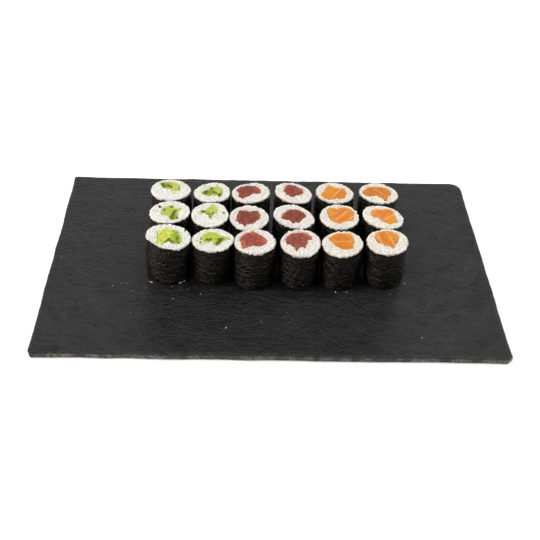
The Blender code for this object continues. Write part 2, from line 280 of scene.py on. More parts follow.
# %% Put a finished shape in the scene
def show(name, mesh, finish, slot, *nodes):
    """Turn a mesh or a bmesh into a piece that rides on the board in place of its CAD nodes, which
    it hides.
    """
    if isinstance(mesh, bmesh.types.BMesh):
        mesh = mesh_of(name, mesh)
    mesh.materials.append(finish)
    mesh.polygons.foreach_set("use_smooth", [True] * len(mesh.polygons))
    piece = placed(name, mesh)
    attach(piece, "root")
    if nodes:
        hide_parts(*nodes)
    return piece


def note(piece, name, values):
    """Keep one number for each vertex, for the material to read."""
    piece.data.attributes.new(name, "FLOAT", "POINT").data.foreach_set("value", values)


def drawn_out(shape, border):
    """Extrude the edges of a border: give the new edges and the new points."""
    grown = bmesh.ops.extrude_edge_only(shape, edges=border)["geom"]
    return ([part for part in grown if isinstance(part, bmesh.types.BMEdge)],
            [part for part in grown if isinstance(part, bmesh.types.BMVert)])


def faces_in(piece):
    """Count the triangles that a piece has."""
    return sum(len(face.vertices) - 2 for face in piece.data.polygons)


# %% [markdown]
# ## The slate's finish
#
# Natural slate is mud that lay in thin layers and was pressed to stone. It is split along those
# layers by hand, which leaves it matt and almost black, with fine streaks all running one way,
# about 1 to 3 mm apart, and here and there a shallow step. Where the edge is broken the stone is
# paler, because it is full of tiny splinters. The streaks are noise that is stretched 5 times
# along the board. They run aslant, wander a little and bend more towards the right end, as the
# layers do in the real board.

# %% Riven slate
STREAK_SLOPE, STREAK_WANDER = 0.16, 0.012
STREAK_BEND_FROM, STREAK_BEND = 0.030, 0.46


def slate_finish():
    """Natural slate: dark blue-grey, streaked, paler where it is broken."""
    finish = bpy.data.materials.new("riven_slate")
    finish.use_nodes = True
    tree = finish.node_tree
    shader = tree.nodes["Principled BSDF"]
    place = add(tree, "ShaderNodeTexCoord").outputs["Object"]
    apart = add(tree, "ShaderNodeSeparateXYZ", links={0: place})
    past = add(tree, "ShaderNodeMath", {"operation": "SUBTRACT", 1: STREAK_BEND_FROM},
               {0: apart.outputs["X"]})
    bent = add(tree, "ShaderNodeMath", {"operation": "MAXIMUM", 1: 0.0}, {0: past.outputs[0]})
    sloped = add(tree, "ShaderNodeMath", {"operation": "MULTIPLY_ADD", 1: STREAK_SLOPE},
                 {0: apart.outputs["X"], 2: apart.outputs["Y"]})
    lift = add(tree, "ShaderNodeMath", {"operation": "MULTIPLY_ADD", 1: STREAK_BEND},
               {0: bent.outputs[0], 2: sloped.outputs[0]})
    wander = add(tree, "ShaderNodeTexNoise", {"Scale": 55.0, "Detail": 3.0}, {"Vector": place})
    wavy = add(tree, "ShaderNodeMath", {"operation": "MULTIPLY_ADD", 1: STREAK_WANDER},
               {0: wander.outputs["Fac"], 2: lift.outputs[0]})
    layers = add(tree, "ShaderNodeCombineXYZ",
                 links={"X": apart.outputs["X"], "Y": wavy.outputs[0], "Z": apart.outputs["Z"]})
    # Streaks 2 mm apart and 10 mm long, flecks 0.8 mm apart, cloudy patches of 40 mm, splinters
    streaks, fine, clouds, grit = (
        add(tree, "ShaderNodeTexNoise", {"Scale": 1.0, "Detail": detail, "Roughness": rough}, {
            "Vector": add(tree, "ShaderNodeMapping", {"Scale": scale},
                          {"Vector": layers.outputs[0]}).outputs[0]})
        for scale, detail, rough in (
            ((95, 470, 470), 4.0, 0.62), ((330, 1250, 1250), 3.0, 0.6),
            ((25, 60, 60), 3.0, 0.5), ((1500, 1500, 600), 2.0, 0.6)))
    both = add(tree, "ShaderNodeMath", {"operation": "ADD"},
               {0: streaks.outputs["Fac"], 1: fine.outputs["Fac"]})
    mean = add(tree, "ShaderNodeMath", {"operation": "MULTIPLY", 1: 0.5}, {0: both.outputs[0]})
    tones = add(tree, "ShaderNodeValToRGB", links={"Fac": mean.outputs[0]})
    tones.color_ramp.elements[0].position, tones.color_ramp.elements[1].position = 0.38, 0.66
    tones.color_ramp.elements[0].color = colour("#060607")
    tones.color_ramp.elements[1].color = colour("#252527")
    patchy = add(tree, "ShaderNodeMix", {"data_type": "RGBA", "blend_type": "SOFT_LIGHT", 0: 0.5},
                 {6: tones.outputs["Color"], 7: clouds.outputs["Fac"]})
    broken = add(tree, "ShaderNodeAttribute", {"attribute_name": "broken"})
    splinters = add(tree, "ShaderNodeMapRange", {"From Min": 0.40, "From Max": 0.66},
                    {"Value": grit.outputs["Fac"]})
    pale = add(tree, "ShaderNodeMath", {"operation": "MULTIPLY"},
               {0: broken.outputs["Fac"], 1: splinters.outputs["Result"]})
    stone = add(tree, "ShaderNodeMix", {"data_type": "RGBA", 7: colour("#8d8d8b")},
                {0: pale.outputs[0], 6: patchy.outputs[2]})
    tree.links.new(stone.outputs[2], shader.inputs["Base Color"])
    bump = add(tree, "ShaderNodeBump", {"Strength": 0.8, "Distance": 0.0015},
               {"Height": mean.outputs[0]})
    tree.links.new(bump.outputs["Normal"], shader.inputs["Normal"])
    dull = add(tree, "ShaderNodeMapRange", {"To Min": 0.24, "To Max": 0.40},
               {"Value": fine.outputs["Fac"]})
    tree.links.new(dull.outputs["Result"], shader.inputs["Roughness"])
    shader.inputs["IOR"].default_value = 1.5
    shader.inputs["Specular IOR Level"].default_value = 0.30
    return finish


riven_slate = slate_finish()
print("slate streaks 2 mm apart")

# %% [markdown]
# ## The slate board
#
# The top starts as a grid of 1.25 mm squares. What lies outside the CAD outline is deleted and the
# border is drawn out onto the outline unevenly, most of all at the ragged back. The border's edges
# are then extruded nine times: down the rough bevel, down the broken side and under. Noise lowers
# and lifts the squares of the top by a tenth of a millimetre, as flat as a split face is.

# %% Split the board
SLATE_CELL = 0.00125
RELIEF, LAMINA_STEP = 0.00010, 0.00009
EDGE_WEAR, BACK_WEAR, SIDE_WEAR = 0.0004, 0.0011, 0.0004
BACK_FROM = 0.09
UNDERSIDE_SHARE = 0.9985
# The share of the way out to the side's outline, and the depth in mm, of each row round the side
SIDE_ROWS = ((0.5, 0.20), (0.9, 0.45), (1.0, 0.9), (1.0, 1.4), (1.0, 1.9), (0.98, 2.5),
             (0.9, 3.0), (0.5, 3.5))


def split_face(x, y):
    """Give the height of the split face at a point, in waves, ridges and steps of its layers."""
    layer = y + STREAK_BEND * max(0.0, x - STREAK_BEND_FROM)
    wave = noise.noise((x / 0.070, layer / 0.022, 1.0))
    ridge = noise.noise((x / 0.030, layer / 0.0042, 5.0))
    patch = noise.noise((x / 0.055, layer / 0.017, 9.0))
    step = math.floor(patch * 3 + 0.5) / 3
    return RELIEF * (0.5 * wave + 0.6 * ridge) + LAMINA_STEP * step


top_outline = level_cut("slate_board", BOARD_TOP - 0.00002)[0]
side_outline = level_cut("slate_board", BOARD_TOP / 2)[0]
span = CAD_BOX[1] - CAD_BOX[0]
slate = bmesh.new()
broken_layer = slate.verts.layers.float.new("broken")
bmesh.ops.create_grid(slate, x_segments=round(span.x / SLATE_CELL),
                      y_segments=round(span.y / SLATE_CELL), size=0.5)
bmesh.ops.scale(slate, verts=slate.verts, vec=(span.x, span.y, 1))
spots = np.array([vert.co.xy for vert in slate.verts])
kept = inside(spots, top_outline) & (nearest(spots, top_outline)[1] > 0.4 * SLATE_CELL)
bmesh.ops.delete(slate, geom=[vert for vert, keep in zip(slate.verts, kept) if not keep],
                 context="VERTS")
border = border_of(slate)
rim = sorted({vert for edge in border for vert in edge.verts}, key=lambda vert: vert.index)
homes, _ = nearest(np.array([vert.co.xy for vert in rim]), top_outline)
for vert, home in zip(rim, homes):
    inward = -Vector(home).normalized()
    wear = max(0.0, noise.noise((home[0] / 0.009, home[1] / 0.009, 2.0)) + 0.15)
    vert.co.xy = Vector(home) + inward * wear * (BACK_WEAR if home[1] > BACK_FROM else EDGE_WEAR)
for vert in slate.verts:
    vert.co.z = BOARD_TOP + split_face(vert.co.x, vert.co.y)
print(len(slate.faces), "squares on the split face")

# %% Break its sides and close it
for vert in rim:
    vert[broken_layer] = 0.08
for share, depth in SIDE_ROWS:
    border, ring = drawn_out(slate, border)
    homes, _ = nearest(np.array([vert.co.xy for vert in ring]), side_outline)
    for vert, home in zip(ring, homes):
        chip = noise.noise((home[0] / 0.004, home[1] / 0.004, depth / 0.9))
        layer = noise.noise((home[0] / 0.030, home[1] / 0.030, round(depth / 0.75) * 3.1))
        inward = -Vector(home).normalized()
        wear = SIDE_WEAR * max(0.0, chip + 0.6 * layer + 0.25)
        vert.co.xy = vert.co.xy.lerp(Vector(home) + inward * wear, share)
        vert.co.z = BOARD_TOP - depth * MM + 0.12 * MM * chip
        patch = noise.noise((home[0] / 0.008, home[1] / 0.008, 4.0)) + 0.45
        vert[broken_layer] = min(1.0, 0.10 + depth / 2.2) * min(1.0, max(0.2, 1.6 * patch))
border, ring = drawn_out(slate, border)
for vert in ring:
    vert.co.xy *= UNDERSIDE_SHARE
    vert.co.z = 0.0
bmesh.ops.edgeloop_fill(slate, edges=border)
bmesh.ops.recalc_face_normals(slate, faces=slate.faces)
board = show("natural_slate_board", slate, riven_slate, "slate", "slate_board")
print("slate board", faces_in(board), "triangles")

# %% [markdown]
# ## The rolls
#
# The CAD solids hold each roll's outline and height. What they don't hold is where the fat lines,
# the skin and the lighter flesh lie on each cut face. This table has them, in millimetres from the
# roll's middle, seen from above. `lines` are strips (their points, then their width): cucumber
# skin, or fat in the salmon. `patches` are soft spots (x, y, radius) of deeper green cucumber, of
# paler tuna or of yellower salmon. `grain` is the direction of the flesh's fibres in degrees and
# `shade` makes a piece lighter or darker than its kind.

# %% Where the details of each roll lie
Roll = namedtuple("Roll", "kind place grain lines patches shade", defaults=(1.0,))
ROLLS = {
    "r1c1": Roll("cucumber", (-71.0, 39.0), 70, [
        ([(-6.7, 7.6), (-5.4, 5.0), (-4.5, 2.8)], 1.7), ([(-2.0, 5.6), (-1.6, 4.0)], 1.5),
        ([(-0.4, 3.6), (0.9, 2.6)], 1.3), ([(6.5, 3.2), (6.2, 1.0)], 1.3)],
        [(-3.5, 5.5, 4.0)], 0.92),
    "r1c2": Roll("cucumber", (-41.5, 36.7), 30, [
        ([(-0.4, 6.0), (-0.5, 3.6)], 1.5), ([(-4.2, 0.4), (-4.4, -2.2)], 1.7),
        ([(-6.5, -1.4), (-5.6, -0.2)], 1.1), ([(1.4, 0.0), (2.9, -1.4)], 1.5),
        ([(4.8, -4.2), (6.2, -1.6)], 1.4)],
        [(-2.2, -0.6, 4.2), (5.2, -4.0, 2.5)], 0.86),
    "r1c3": Roll("tuna", (-14.0, 37.0), 60, [], [(5.0, 6.5, 2.6), (6.5, 2.5, 2.2)], 0.84),
    "r1c4": Roll("tuna", (16.0, 38.0), 75, [], [(6.0, 4.0, 2.4), (-5.0, 6.0, 1.6)], 0.86),
    "r1c5": Roll("salmon", (45.5, 39.0), 55, [
        ([(4.6, 3.9), (1.2, -1.6), (-2.3, -6.75)], 0.9)],
        [(-4.5, 0.0, 5.5), (-1.0, 6.0, 4.0)], 0.94),
    "r1c6": Roll("salmon", (77.0, 39.5), 130, [
        ([(-2.6, 5.1), (1.1, 1.0), (3.6, -2.1), (5.2, -4.5)], 0.8)],
        [(5.5, 3.0, 2.5)], 0.84),
    "r2c1": Roll("cucumber", (-69.5, 11.5), 20, [
        ([(0.3, 5.0), (1.0, 6.4)], 1.6), ([(-3.8, 3.4), (-3.7, 0.8)], 1.0),
        ([(3.6, 1.4), (2.8, -1.6), (2.2, -4.4), (1.6, -7.4)], 1.5),
        ([(2.1, -7.7), (2.8, -8.6)], 1.5), ([(5.8, -8.2), (5.2, -6.8)], 1.3)],
        [(4.2, -3.0, 3.4), (4.0, -7.4, 3.0)], 0.92),
    "r2c2": Roll("cucumber", (-42.0, 9.0), 80, [
        ([(-5.9, 2.7), (-4.2, 3.9)], 1.9), ([(1.6, 0.8), (2.2, 2.2)], 1.3),
        ([(-2.0, -0.9), (-0.8, 0.1)], 1.3), ([(0.6, -5.0), (0.4, -2.0)], 0.7)],
        [(-4.0, 2.6, 2.8), (0.6, -1.5, 2.0)], 0.92),
    "r2c3": Roll("tuna", (-15.0, 6.5), 85, [], [(7.0, 2.5, 2.4), (-8.4, -2.0, 1.6)], 0.80),
    "r2c4": Roll("tuna", (15.5, 8.5), 100, [], [(-7.0, 1.5, 1.8), (-4.5, 6.0, 1.6)], 0.78),
    "r2c5": Roll("salmon", (47.0, 9.5), 50, [
        ([(5.9, 6.6), (3.6, 3.2), (0.9, 0.1), (-2.9, -4.9)], 0.9),
        ([(-1.0, 5.1), (-6.0, 2.0)], 0.6), ([(9.2, 0.2), (6.3, -3.2)], 0.9)],
        [(8.4, -4.0, 2.2), (-6.5, 6.0, 3.0)]),
    "r2c6": Roll("salmon", (77.0, 10.0), 45, [
        ([(7.8, 3.0), (3.8, -0.8), (0.0, -4.6)], 1.0)],
        [(6.0, -4.5, 4.0), (-6.0, 4.5, 2.6)]),
    "r3c1": Roll("cucumber", (-69.0, -18.0), 95, [
        ([(4.3, 8.0), (3.3, 6.6)], 1.3), ([(7.2, 6.4), (6.0, 5.4)], 1.3),
        ([(1.5, -2.6), (0.4, -4.0), (-0.8, -5.4)], 2.1), ([(1.4, -3.4), (3.0, -5.2)], 1.7),
        ([(6.7, -0.4), (6.5, -3.0)], 1.7), ([(3.4, -6.6), (4.6, -6.0)], 1.1),
        ([(8.3, -7.3), (7.0, -6.4)], 1.5)],
        [(6.4, 1.5, 4.6), (6.4, -5.0, 3.4)], 1.08),
    "r3c2": Roll("cucumber", (-39.0, -19.5), 10, [
        ([(-8.0, 1.2), (-7.3, 0.0)], 1.1),
        ([(-4.3, 0.8), (-3.5, -0.7), (-1.9, -0.6), (-1.4, 0.9)], 1.1),
        ([(4.0, 0.8), (5.0, -1.4), (2.6, -4.6)], 1.6), ([(5.6, 0.4), (6.8, 1.5)], 1.4)],
        [(5.0, -1.5, 3.4), (-2.8, -1.0, 2.4)], 0.92),
    "r3c3": Roll("tuna", (-11.0, -23.0), 70, [],
                 [(-1.5, 10.4, 2.4), (6.8, 0.8, 2.6), (-8.6, -1.5, 2.4), (-7.4, -6.4, 2.2)],
                 1.08),
    "r3c4": Roll("tuna", (19.0, -21.5), 80, [], [(4.6, 9.4, 2.8), (7.4, 5.6, 2.6)]),
    "r3c5": Roll("salmon", (47.0, -22.0), 0, [([(-6.6, 2.2), (0.0, 2.0), (5.8, 2.2)], 0.8)],
                 [(6.2, 2.0, 3.2), (5.0, 9.0, 3.0)], 0.93),
    "r3c6": Roll("salmon", (77.0, -19.5), 100, [
        ([(0.6, 9.9), (1.6, 6.4), (2.5, 2.9), (4.1, -3.8)], 1.0),
        ([(-5.9, 8.8), (-5.3, 2.9), (-4.3, -1.3)], 0.9)],
        [(-6.8, 4.0, 2.4), (5.2, 6.0, 3.6)], 0.94),
}
SLEEVE_BELOW_CUT = 0.0009


def middle_of(label):
    """Give the middle of a roll on the board, in metres."""
    return Vector(ROLLS[label].place) * MM


def cut_height(label):
    """Give the height of a roll's cut face, just under the crown of its filling."""
    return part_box(f"nori_{label}")[1].z + SLEEVE_BELOW_CUT


print(len(ROLLS), "rolls, the tallest cut at",
      round(max(cut_height(label) for label in ROLLS) / MM, 1), "mm")

# %% [markdown]
# ## Seaweed
#
# Nori is laver, a red seaweed, chopped, spread on a mat and dried like paper. Round wet rice it
# softens and shrinks, so it clings in fine crinkles that wander round the roll, about 2 mm apart.
# It is nearly black, with olive and brown where it is thin, and half glossy, so every crinkle
# carries a short glint. The mat's fibres show as fine threads.

# %% Laver
def seaweed_finish():
    """Dried laver: brown-black, mottled, half glossy, with crinkles and fibres."""
    finish = bpy.data.materials.new("dried_laver")
    finish.use_nodes = True
    tree = finish.node_tree
    shader = tree.nodes["Principled BSDF"]
    place = add(tree, "ShaderNodeTexCoord").outputs["Object"]
    # Mottles 1.4 to 2.4 mm apart, crinkles 2.3 mm apart and 5 mm long, fibres 0.6 mm apart
    mottle, crinkle, fibre = (
        add(tree, "ShaderNodeTexNoise",
            {"Scale": 1.0, "Detail": detail, "Roughness": 0.6, "Distortion": wander},
            {"Vector": add(tree, "ShaderNodeMapping", {"Scale": scale},
                           {"Vector": place}).outputs[0]})
        for scale, detail, wander in (
            ((420, 420, 700), 4.0, 0.8), ((200, 200, 430), 2.0, 1.1), ((900, 900, 1600), 2.0, 1.5)))
    tones = add(tree, "ShaderNodeValToRGB", links={"Fac": mottle.outputs["Fac"]})
    ramp = tones.color_ramp
    ramp.elements[0].position, ramp.elements[1].position = 0.40, 0.70
    ramp.elements[0].color, ramp.elements[1].color = colour("#040403"), colour("#443f28")
    ramp.elements.new(0.56).color = colour("#0c0b07")
    wide = add(tree, "ShaderNodeTexNoise", {"Scale": 120.0, "Detail": 2.0}, {"Vector": place})
    browner = add(tree, "ShaderNodeMapRange", {"From Min": 0.40, "From Max": 0.60},
                  {"Value": wide.outputs["Fac"]})
    tint = add(tree, "ShaderNodeMix",
               {"data_type": "RGBA", 6: colour("#d2dcb4"), 7: colour("#f0d6cc")},
               {0: browner.outputs["Result"]})
    laver = add(tree, "ShaderNodeMix", {"data_type": "RGBA", "blend_type": "MULTIPLY", 0: 1.0},
                {6: tones.outputs["Color"], 7: tint.outputs[2]})
    tree.links.new(laver.outputs[2], shader.inputs["Base Color"])
    height = add(tree, "ShaderNodeMath", {"operation": "MULTIPLY_ADD", 1: 0.10},
                 {0: fibre.outputs["Fac"], 2: crinkle.outputs["Fac"]})
    bump = add(tree, "ShaderNodeBump", {"Strength": 1.0, "Distance": 0.0023},
               {"Height": height.outputs[0]})
    tree.links.new(bump.outputs["Normal"], shader.inputs["Normal"])
    gloss = add(tree, "ShaderNodeMapRange", {"To Min": 0.44, "To Max": 0.24},
                {"Value": mottle.outputs["Fac"]})
    tree.links.new(gloss.outputs["Result"], shader.inputs["Roughness"])
    shader.inputs["IOR"].default_value = 1.45
    shader.inputs["Specular IOR Level"].default_value = 0.45
    return finish


dried_laver = seaweed_finish()
print("crinkles 2.3 mm apart")

# %% [markdown]
# ## Wrapping a sleeve
#
# A sleeve is one flat sheet, so it starts as a flat grid. Its width is wound once round the roll
# and a fifth further, so that its end laps over its start, as the real sheet does. The CAD sleeve
# gives the inner and the outer face at every bearing. Noise that is short in height and long
# round the roll pulls the sheet in between its crinkles. A soft roll bulges where it is pressed
# against its neighbours in the row. The rim is uneven, torn or standing up where the table says,
# and the foot tucks in where the roll stands on it.

# %% Wind the sheet round a roll
SHEET_TURN, LAP_FROM, LAP_WIDTH = math.radians(430), math.radians(335), math.radians(25)
SHEET_COLUMNS, SHEET_ROWS = 150, 44
SHEET_THICKNESS, RIM_RAGGED, RIM_REACH = 0.00018, 0.00022, 0.0026
SLEEVE_WALL, LAP_RISE = 0.00034, 0.00018
CRINKLE_DEPTH, CRINKLE_SLANT, CRINKLE_PITCH = 0.00046, 0.006, 0.0019
SQUEEZE, SQUEEZE_GAP, SQUEEZE_HALF = 0.0009, 0.00015, 34
FOOT_TUCK, FOOT_HEIGHT = 0.0006, 0.0014
FOOT_ABOVE_BOARD, RIM_BELOW_SOLID = 0.00008, 0.0002
# Where a rim is torn, or stands up if its drop is negative: bearing and half width in degrees,
# then how far it drops and draws in, mm
TEARS = {
    "r3c1": [(222, 28, -2.4, 0.8), (268, 20, -1.4, 0.2)],
    "r3c2": [(222, 15, 0.9, 0.3)],
    "r3c6": [(222, 9, 1.0, 0.2)],
    "r3c3": [(228, 9, 0.8, 0.2)],
    "r1c1": [(172, 10, -0.5, 0.4)],
    "r2c1": [(228, 14, 0.6, 0.0)],
    "r1c4": [(215, 10, 0.5, 0.0)],
}
# Where the sheet stands up outside the rice: bearing, half width, how far the rice draws in, mm
STANDS_UP = {"r3c1": [(182, 26, 0.9), (226, 30, 2.0), (268, 24, 1.3)]}


def bump_at(bearing, place, half):
    """Give the weight of a local change at a bearing: 1 at its place, 0 past its half width."""
    off = (math.degrees(bearing) - place + 180) % 360 - 180
    return math.exp(-(off / half) ** 4)


def seam_of(outer, inner, middle):
    """Find where the CAD sleeve is thickest: the bearing where its lap begins."""
    bearings = [math.tau * i / 72 for i in range(72)]
    walls = [reach(outer, middle, b) - reach(inner, middle, b) for b in bearings]
    thick = [wall > sum(walls) / len(walls) for wall in walls]
    starts = [i for i in range(72) if thick[i] and not thick[i - 1]]
    return bearings[max(starts, key=lambda i: sum(thick[(i + k) % 72] for k in range(14)))]


# The outer and the inner outline of every CAD sleeve, at half its height
SLEEVE_CUTS = {label: level_cut(f"nori_{label}", sum(end.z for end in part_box(f"nori_{label}")) / 2)
               for label in ROLLS}


def squeezes(label):
    """Say where a soft roll is pressed against its neighbours in the row, and how far it gives."""
    found = []
    for step in (-1, 1):
        other = f"{label[:3]}{int(label[3]) + step}"
        if other in ROLLS:
            apart = middle_of(other) - middle_of(label)
            bearing = math.atan2(apart.y, apart.x)
            gap = (apart.length - reach(SLEEVE_CUTS[label][1], middle_of(label), bearing)
                   - reach(SLEEVE_CUTS[other][1], middle_of(other), bearing + math.pi)
                   - 2 * SLEEVE_WALL - LAP_RISE)
            found.append((bearing, max(0.0, min(SQUEEZE, (gap - SQUEEZE_GAP) / 2))))
    return found


def wind_sleeve(label):
    """Wind one sheet of seaweed round a roll, lapped, crinkled and torn a little at the rim."""
    node, middle, pressed = f"nori_{label}", middle_of(label), squeezes(label)
    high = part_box(node)[1]
    outer, inner = SLEEVE_CUTS[label]
    seam = seam_of(outer, inner, middle)
    seed = 10.0 * sorted(ROLLS).index(label)
    foot = BOARD_TOP + FOOT_ABOVE_BOARD
    sheet = bmesh.new()
    bmesh.ops.create_grid(sheet, x_segments=SHEET_COLUMNS, y_segments=SHEET_ROWS, size=0.5)
    walls = {}
    for vert in sheet.verts:
        wound, climb = (vert.co.x + 0.5) * SHEET_TURN, vert.co.y + 0.5
        bearing = seam + wound
        if wound not in walls:
            walls[wound] = reach(inner, middle, bearing)
        lap = min(1.0, max(0.0, (wound - LAP_FROM) / LAP_WIDTH))
        radius = walls[wound] + SLEEVE_WALL + LAP_RISE * lap
        way = Vector((math.cos(bearing), math.sin(bearing)))
        drop = RIM_RAGGED * (noise.noise((3 * way.x, 3 * way.y, seed))
                             + noise.noise((9 * way.x, 9 * way.y, seed)))
        draw = 0.0
        for tear, half, fall, pull in TEARS.get(label, ()):
            drop += fall * MM * bump_at(bearing, tear, half)
            draw += pull * MM * bump_at(bearing, tear, half)
        top = high.z - RIM_BELOW_SOLID - drop
        height = foot + (top - foot) * climb
        near_rim = max(0.0, 1 - (top - height) / RIM_REACH)
        slant = CRINKLE_SLANT * noise.noise((1.3 * way.x, 1.3 * way.y, height / 0.012 + seed))
        level = (height + slant) / CRINKLE_PITCH
        crinkle = abs(noise.noise((way.x * 3.2, way.y * 3.2, level + seed)))
        crinkle += 0.6 * abs(noise.noise((way.x * 7, way.y * 7, 1.4 * level - seed)))
        soft = min(1.0, (height - foot) / 0.001)
        radius -= CRINKLE_DEPTH * soft * min(1.0, 1.5 * crinkle)
        radius -= FOOT_TUCK * max(0.0, 1 - (height - foot) / FOOT_HEIGHT) ** 2
        radius -= draw * near_rim ** 1.5
        for place, give in pressed:
            radius += (give * bump_at(bearing, math.degrees(place), SQUEEZE_HALF)
                       * min(1.0, 3.2 * climb, 4.5 * (1 - climb)))
        vert.co = (*(middle + way * radius), height)
    bmesh.ops.recalc_face_normals(sheet, faces=sheet.faces)
    face = sheet.faces[len(sheet.faces) // 2]
    if face.normal.xy.dot(face.calc_center_median().xy - middle) < 0:
        bmesh.ops.reverse_faces(sheet, faces=sheet.faces)
    piece = show(f"seaweed_sleeve_{label}", sheet, dried_laver, "nori", node)
    wall = piece.modifiers.new("thickness", "SOLIDIFY")
    wall.thickness, wall.offset = SHEET_THICKNESS, -1.0
    return piece


sleeves = [wind_sleeve(label) for label in ROLLS]
print(len(sleeves), "sleeves,", faces_in(sleeves[0]), "triangles each before their thickness")

# %% [markdown]
# ## Rice
#
# Sushi rice is short-grained, cooked soft and pressed, so its grains swell into each other. They
# are white and let light in: it comes out again a millimetre away, which is subsurface
# scattering. The knife slides over them, so the cut face is nearly flat, with soft grain shapes
# and small dark gaps. Next to fish the rice takes up a little of its colour.

# %% Cooked rice
def rice_finish(beside, dull, bright, stain):
    """Cooked short-grain rice, a little stained where it lies against its filling."""
    finish = bpy.data.materials.new(f"cooked_rice_beside_{beside}")
    finish.use_nodes = True
    tree = finish.node_tree
    shader = tree.nodes["Principled BSDF"]
    tone = add(tree, "ShaderNodeAttribute", {"attribute_name": "tone"})
    whites = add(tree, "ShaderNodeValToRGB", links={"Fac": tone.outputs["Fac"]})
    whites.color_ramp.elements[0].color = colour(dull)
    whites.color_ramp.elements[1].color = colour(bright)
    near = add(tree, "ShaderNodeAttribute", {"attribute_name": "near_filling"})
    share = add(tree, "ShaderNodeMath", {"operation": "MULTIPLY", 1: 0.55},
                {0: near.outputs["Fac"]})
    rice = add(tree, "ShaderNodeMix", {"data_type": "RGBA", 7: colour(stain)},
               {0: share.outputs[0], 6: whites.outputs["Color"]})
    tree.links.new(rice.outputs[2], shader.inputs["Base Color"])
    place = add(tree, "ShaderNodeTexCoord").outputs["Object"]
    # Soft pits 0.8 mm apart, where starch has dried on the grains
    pits = add(tree, "ShaderNodeTexNoise", {"Scale": 1250.0, "Detail": 2.0}, {"Vector": place})
    bump = add(tree, "ShaderNodeBump", {"Strength": 0.2, "Distance": 0.0002},
               {"Height": pits.outputs["Fac"]})
    tree.links.new(bump.outputs["Normal"], shader.inputs["Normal"])
    shader.inputs["Roughness"].default_value = 0.42
    shader.inputs["IOR"].default_value = 1.4
    shader.inputs["Subsurface Weight"].default_value = 0.65
    shader.inputs["Subsurface Radius"].default_value = (1.0, 0.92, 0.8)
    shader.inputs["Subsurface Scale"].default_value = 0.0018
    return finish


RICE = {
    "cucumber": rice_finish("cucumber", "#f6f4e6", "#fffffa", "#edf0c8"),
    "tuna": rice_finish("tuna", "#f5ebe2", "#fefaf4", "#efcdbf"),
    "salmon": rice_finish("salmon", "#f8ecdc", "#fffbf2", "#f6d4ac"),
}
print(len(RICE), "kinds of stained rice")

# %% [markdown]
# ## Packing the grains
#
# One grain is an icosphere drawn out to 4.0 x 2.6 x 2.3 mm. Copies of it are scattered over the cut
# face until no more fit, and a row of them lies round the rim, where they swell over the sleeve. A
# copy that stands above the cut is pressed nearly flat there, as the knife leaves it. Under them is
# a plain core: the CAD solid with its top sliced off. Copies are quickest as arrays, in one mesh.

# %% One grain
GRAIN = Vector((4.0, 2.6, 2.3)) * MM
GRAIN_SPACING, RIM_SPACING = 0.0017, 0.0024
# How near the middle of a grain may come to the rim and to the filling, and its reach to its ends
FROM_LIP, FROM_HOLE, GRAIN_REACH = 0.0018, 0.0007, 0.36
DARTS = 5000
# How much of what stands above the knife's plane is left
LEFT_BY_KNIFE = 0.28
# How far the middles of the grains lie under the cut, mm, and the share that lies over the filling
FACE_BELOW, RIM_BELOW = -0.86, -0.92
OVER_FILLING = 0.3
CORE_BELOW_CUT = 0.00044
STANDING_SHEET, PAST_LIP, STAIN_REACH = 0.004, 0.00012, 0.0022


def small_ball(size, pinch=0.0):
    """Draw a sphere out to a size and pinch one end: give its points and faces."""
    ball = bmesh.new()
    bmesh.ops.create_icosphere(ball, subdivisions=2, radius=0.5)
    for vert in ball.verts:
        vert.co.y *= 1 - pinch * max(0.0, vert.co.x / 0.5)
    bmesh.ops.scale(ball, verts=ball.verts, vec=size)
    points = np.array([vert.co for vert in ball.verts])
    faces = np.array([[vert.index for vert in face.verts] for face in ball.faces])
    ball.free()
    return points, faces


GRAIN_POINTS, GRAIN_FACES = small_ball(GRAIN)
print("a grain has", len(GRAIN_FACES), "triangles")


# %% Scatter and join
def turned(points, yaw, pitch, roll):
    """Turn a small shape about its length, then tip it, then point it along a bearing."""
    turn = (Matrix.Rotation(yaw, 3, "Z") @ Matrix.Rotation(pitch, 3, "Y")
            @ Matrix.Rotation(roll, 3, "X"))
    return points @ np.array(turn).T


def joined(parts, faces):
    """Join copies of one small shape into lists of points and faces."""
    count = len(parts[0])
    return np.concatenate(parts), np.concatenate([faces + i * count for i in range(len(parts))])


